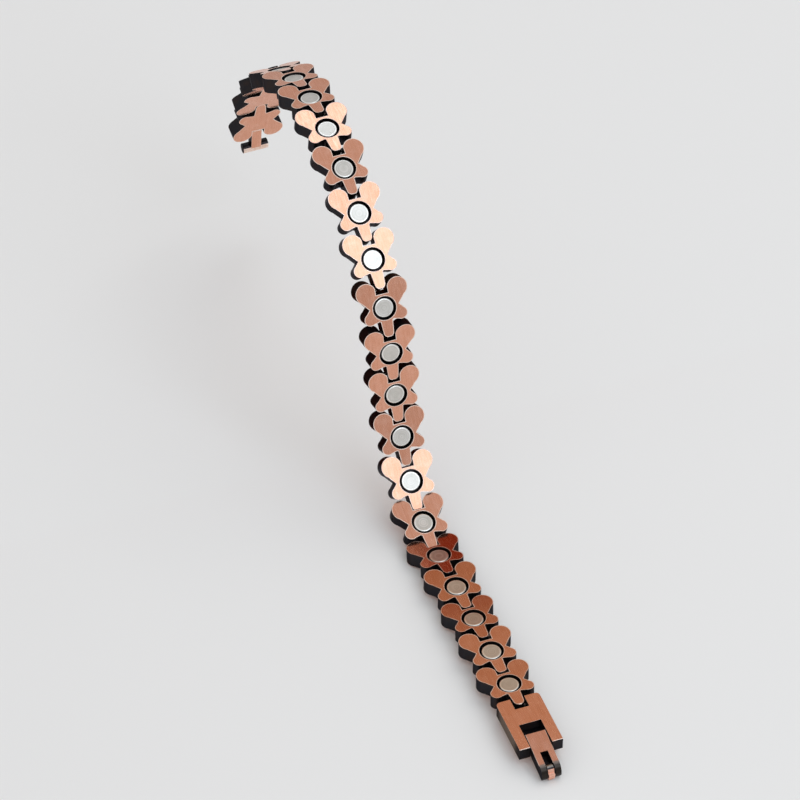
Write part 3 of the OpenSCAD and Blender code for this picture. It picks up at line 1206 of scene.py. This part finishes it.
def make_reflector():
    """An upright tan card behind the flat links, deep brown low down, that only reflections show."""
    deselect_everything()
    bpy.ops.mesh.primitive_plane_add(size=1)
    card = bpy.context.object
    card.name = "tan_reflector"
    stand = Matrix.Rotation(math.radians(90), 4, "X")
    size = Matrix.Diagonal((CARD_WIDTH, CARD_TOP - FLOOR_HEIGHT, 1, 1))
    middle = (0.0, CARD_PLACE, (CARD_TOP + FLOOR_HEIGHT) / 2)
    card.data.transform(Matrix.Translation(middle) @ stand @ size)
    card.data.materials.append(make_card_material())
    card.visible_camera = False
    card.visible_diffuse = False
    card.visible_shadow = False
    card.visible_transmission = False


def make_card_material():
    """Light that changes up the card, and nothing at all from behind."""
    material = bpy.data.materials.new("Tan reflector")
    material.use_nodes = True
    tree = material.node_tree
    shader = tree.nodes["Principled BSDF"]
    shader.inputs["Base Color"].default_value = (0, 0, 0, 1)
    shader.inputs["Specular IOR Level"].default_value = 0.0
    shader.inputs["Emission Strength"].default_value = 1.0
    place = tree.nodes.new("ShaderNodeTexCoord").outputs["Object"]
    split = tree.nodes.new("ShaderNodeSeparateXYZ")
    tree.links.new(place, split.inputs[0])
    height = ease(tree, split.outputs["Z"], FLOOR_HEIGHT, CARD_TOP)
    height.node.interpolation_type = "LINEAR"
    ramp = tree.nodes.new("ShaderNodeValToRGB")
    tree.links.new(height, ramp.inputs["Fac"])
    stops = ramp.color_ramp.elements
    for _ in range(len(CARD_COLOURS) - len(stops)):
        stops.new(0.5)
    for stop, (place_up, colour) in zip(stops, CARD_COLOURS):
        stop.position = (place_up - FLOOR_HEIGHT) / (CARD_TOP - FLOOR_HEIGHT)
        stop.color = (*colour, 1)
    tree.links.new(ramp.outputs["Color"], shader.inputs["Emission Color"])
    behind = tree.nodes.new("ShaderNodeNewGeometry").outputs["Backfacing"]
    tree.links.new(math_node(tree, "SUBTRACT", 1.0, behind), shader.inputs["Alpha"])
    return material


def softbox(name, direction, distance, width, height, power, tint, target=(0, -0.045, -0.035)):
    """A square soft lamp that faces the bracelet."""
    lamp = bpy.data.lights.new(name, "AREA")
    lamp.shape = "RECTANGLE"
    lamp.size = width
    lamp.size_y = height
    lamp.energy = power
    lamp.color = tint
    piece = bpy.data.objects.new(name, lamp)
    bpy.context.scene.collection.objects.link(piece)
    aim = Vector(direction).normalized()
    piece.location = Vector(target) + aim * distance
    piece.rotation_euler = aim.to_track_quat("Z", "Y").to_euler()
    piece.visible_camera = False
    return piece


def make_lights():
    """A large softbox in front, a small one behind the arch, and a fill that no gloss shows."""
    softbox(
        "front_softbox",
        direction=(0.256, -0.61, 0.75),
        distance=0.9,
        width=0.55,
        height=0.68,
        power=1.85,
        tint=COOL_LIGHT,
    )
    softbox(
        "rear_softbox",
        direction=(0.256, 0.411, 0.875),
        distance=0.35,
        width=0.09,
        height=0.09,
        power=0.049,
        tint=COOL_LIGHT,
        target=(0, -0.004, 0),
    )
    fill = softbox(
        "fill_softbox",
        direction=(0.45, 0.25, 0.85),
        distance=1.5,
        width=0.9,
        height=0.9,
        power=3.3,
        tint=WARM_LIGHT,
    )
    fill.visible_glossy = False


def make_surroundings():
    """A pale room, a little dimmer low down than overhead."""
    world = bpy.data.worlds.new("Pale room")
    bpy.context.scene.world = world
    world.use_nodes = True
    tree = world.node_tree
    background = tree.nodes["Background"]
    direction = tree.nodes.new("ShaderNodeTexCoord").outputs["Generated"]
    split = tree.nodes.new("ShaderNodeSeparateXYZ")
    tree.links.new(direction, split.inputs[0])
    ramp = tree.nodes.new("ShaderNodeValToRGB")
    tree.links.new(split.outputs["Z"], ramp.inputs["Fac"])
    ramp.color_ramp.elements[0].position = 0.0
    ramp.color_ramp.elements[0].color = ROOM_LOW
    ramp.color_ramp.elements[1].position = 1.0
    ramp.color_ramp.elements[1].color = ROOM_HIGH
    tree.links.new(ramp.outputs["Color"], background.inputs["Color"])
    background.inputs["Strength"].default_value = 1.0


def make_camera():
    """The photo's view."""
    data = bpy.data.cameras.new("photo_camera")
    camera = bpy.data.objects.new("photo_camera", data)
    bpy.context.scene.collection.objects.link(camera)
    back = CAMERA_BACK.normalized()
    right = (CAMERA_RIGHT - back * CAMERA_RIGHT.dot(back)).normalized()
    up = back.cross(right)
    turn = Matrix((right, up, back)).transposed()
    camera.matrix_world = Matrix.Translation(CAMERA_TARGET + back * CAMERA_DISTANCE) @ turn.to_4x4()
    data.sensor_width = CAMERA_SENSOR
    data.lens = CAMERA_LENS
    data.clip_start = 0.01
    data.clip_end = 20
    bpy.context.scene.camera = camera
    bpy.context.scene.view_settings.view_transform = "Standard"


# The whole bracelet


def give_material(node, material):
    """Gives a solid that stays in view a better material."""
    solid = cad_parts[node]
    if not solid.material_slots:
        solid.data.materials.append(material)
    for holder in solid.material_slots:
        holder.material = material


def make_links(trio):
    link = model_link()
    paint(link, trio, link_pick)
    rub_and_highlight_rims(link, LINK_THICKNESS / 2, LINK_RIM_WEAR_AND_HIGHLIGHT)
    place_links(link)


def make_magnets(clouds):
    magnet = model_magnet()
    paint(magnet, [make_magnet_metal(clouds), make_nickel_rim_wear_and_highlight(clouds)], magnet_pick)
    place_magnets(magnet)


def make_plate(trio, clouds):
    plate = model_clasp_plate()
    paint(plate, [*trio, make_grey_brown_side(clouds)], plate_pick)
    keep_faces_flat(plate)
    dress_with_shift(plate, "clasp_plate", plate_place(), "root")
    add_shade_strip(model_window_shade_strip(), "window_shade_strip", plate_place(), "root", trio[2])


def make_lever(lever_finish, wear_and_highlight, black):
    darken_towards_end(lever_finish, FORK_GREY_Y, FORK_BLACK_Y)
    lever = model_clasp_lever()
    paint(lever, [lever_finish.material, wear_and_highlight, black], lever_pick)
    dress_with_shift(lever, "clasp_lever", lever_place(), "lever")
    add_shade_strip(model_slot_shade_strip(), "slot_shade_strip", lever_place(), "lever", black)


def make_finger(clouds, grey_wire, black):
    finger = model_hook_finger()
    paint(finger, [make_finger_copper(clouds), grey_wire, black], finger_pick)
    place = lever_place() @ Matrix.Translation((0, FORK_PIN_Y, 0))
    dress_with_shift(finger, "hook_finger", place, "lever")


def make_catch(trio):
    catch = model_end_catch()
    paint(catch, trio, rim_pick(CATCH_THICKNESS / 2, RIM_BEVEL))
    dress_with_shift(catch, "end_catch", catch_place(), "root")


def make_bracelet():
    """Makes the materials, then every piece in its place."""
    brushing = make_brushing_group()
    clouds = make_cloud_group()
    pits = make_pit_group()
    copper = make_copper_face("Brushed copper", brushing, clouds, pits).material
    lever_finish = make_copper_face("Brushed copper lever", brushing, clouds, pits, LEVER_TONES)
    wear_and_highlight = make_edge_wear_and_highlight(brushing, clouds)
    black = make_blackened(clouds, pits)
    dark_wire = make_wire("Darkened wire", DARK_WIRE, 0.4)
    grey_wire = make_wire("Grey wire", GREY_WIRE, 0.32)
    trio = [copper, wear_and_highlight, black]

    make_links(trio)
    make_magnets(clouds)
    make_plate(trio, clouds)
    make_lever(lever_finish, wear_and_highlight, black)
    make_finger(clouds, grey_wire, black)
    make_catch(trio)
    give_material("hinge_pins", dark_wire)
    give_material("lever_pin", dark_wire)
    give_material("fork_pin", grey_wire)


make_bracelet()
make_floor()
make_reflector()
make_lights()
make_surroundings()
make_camera()
deselect_everything()
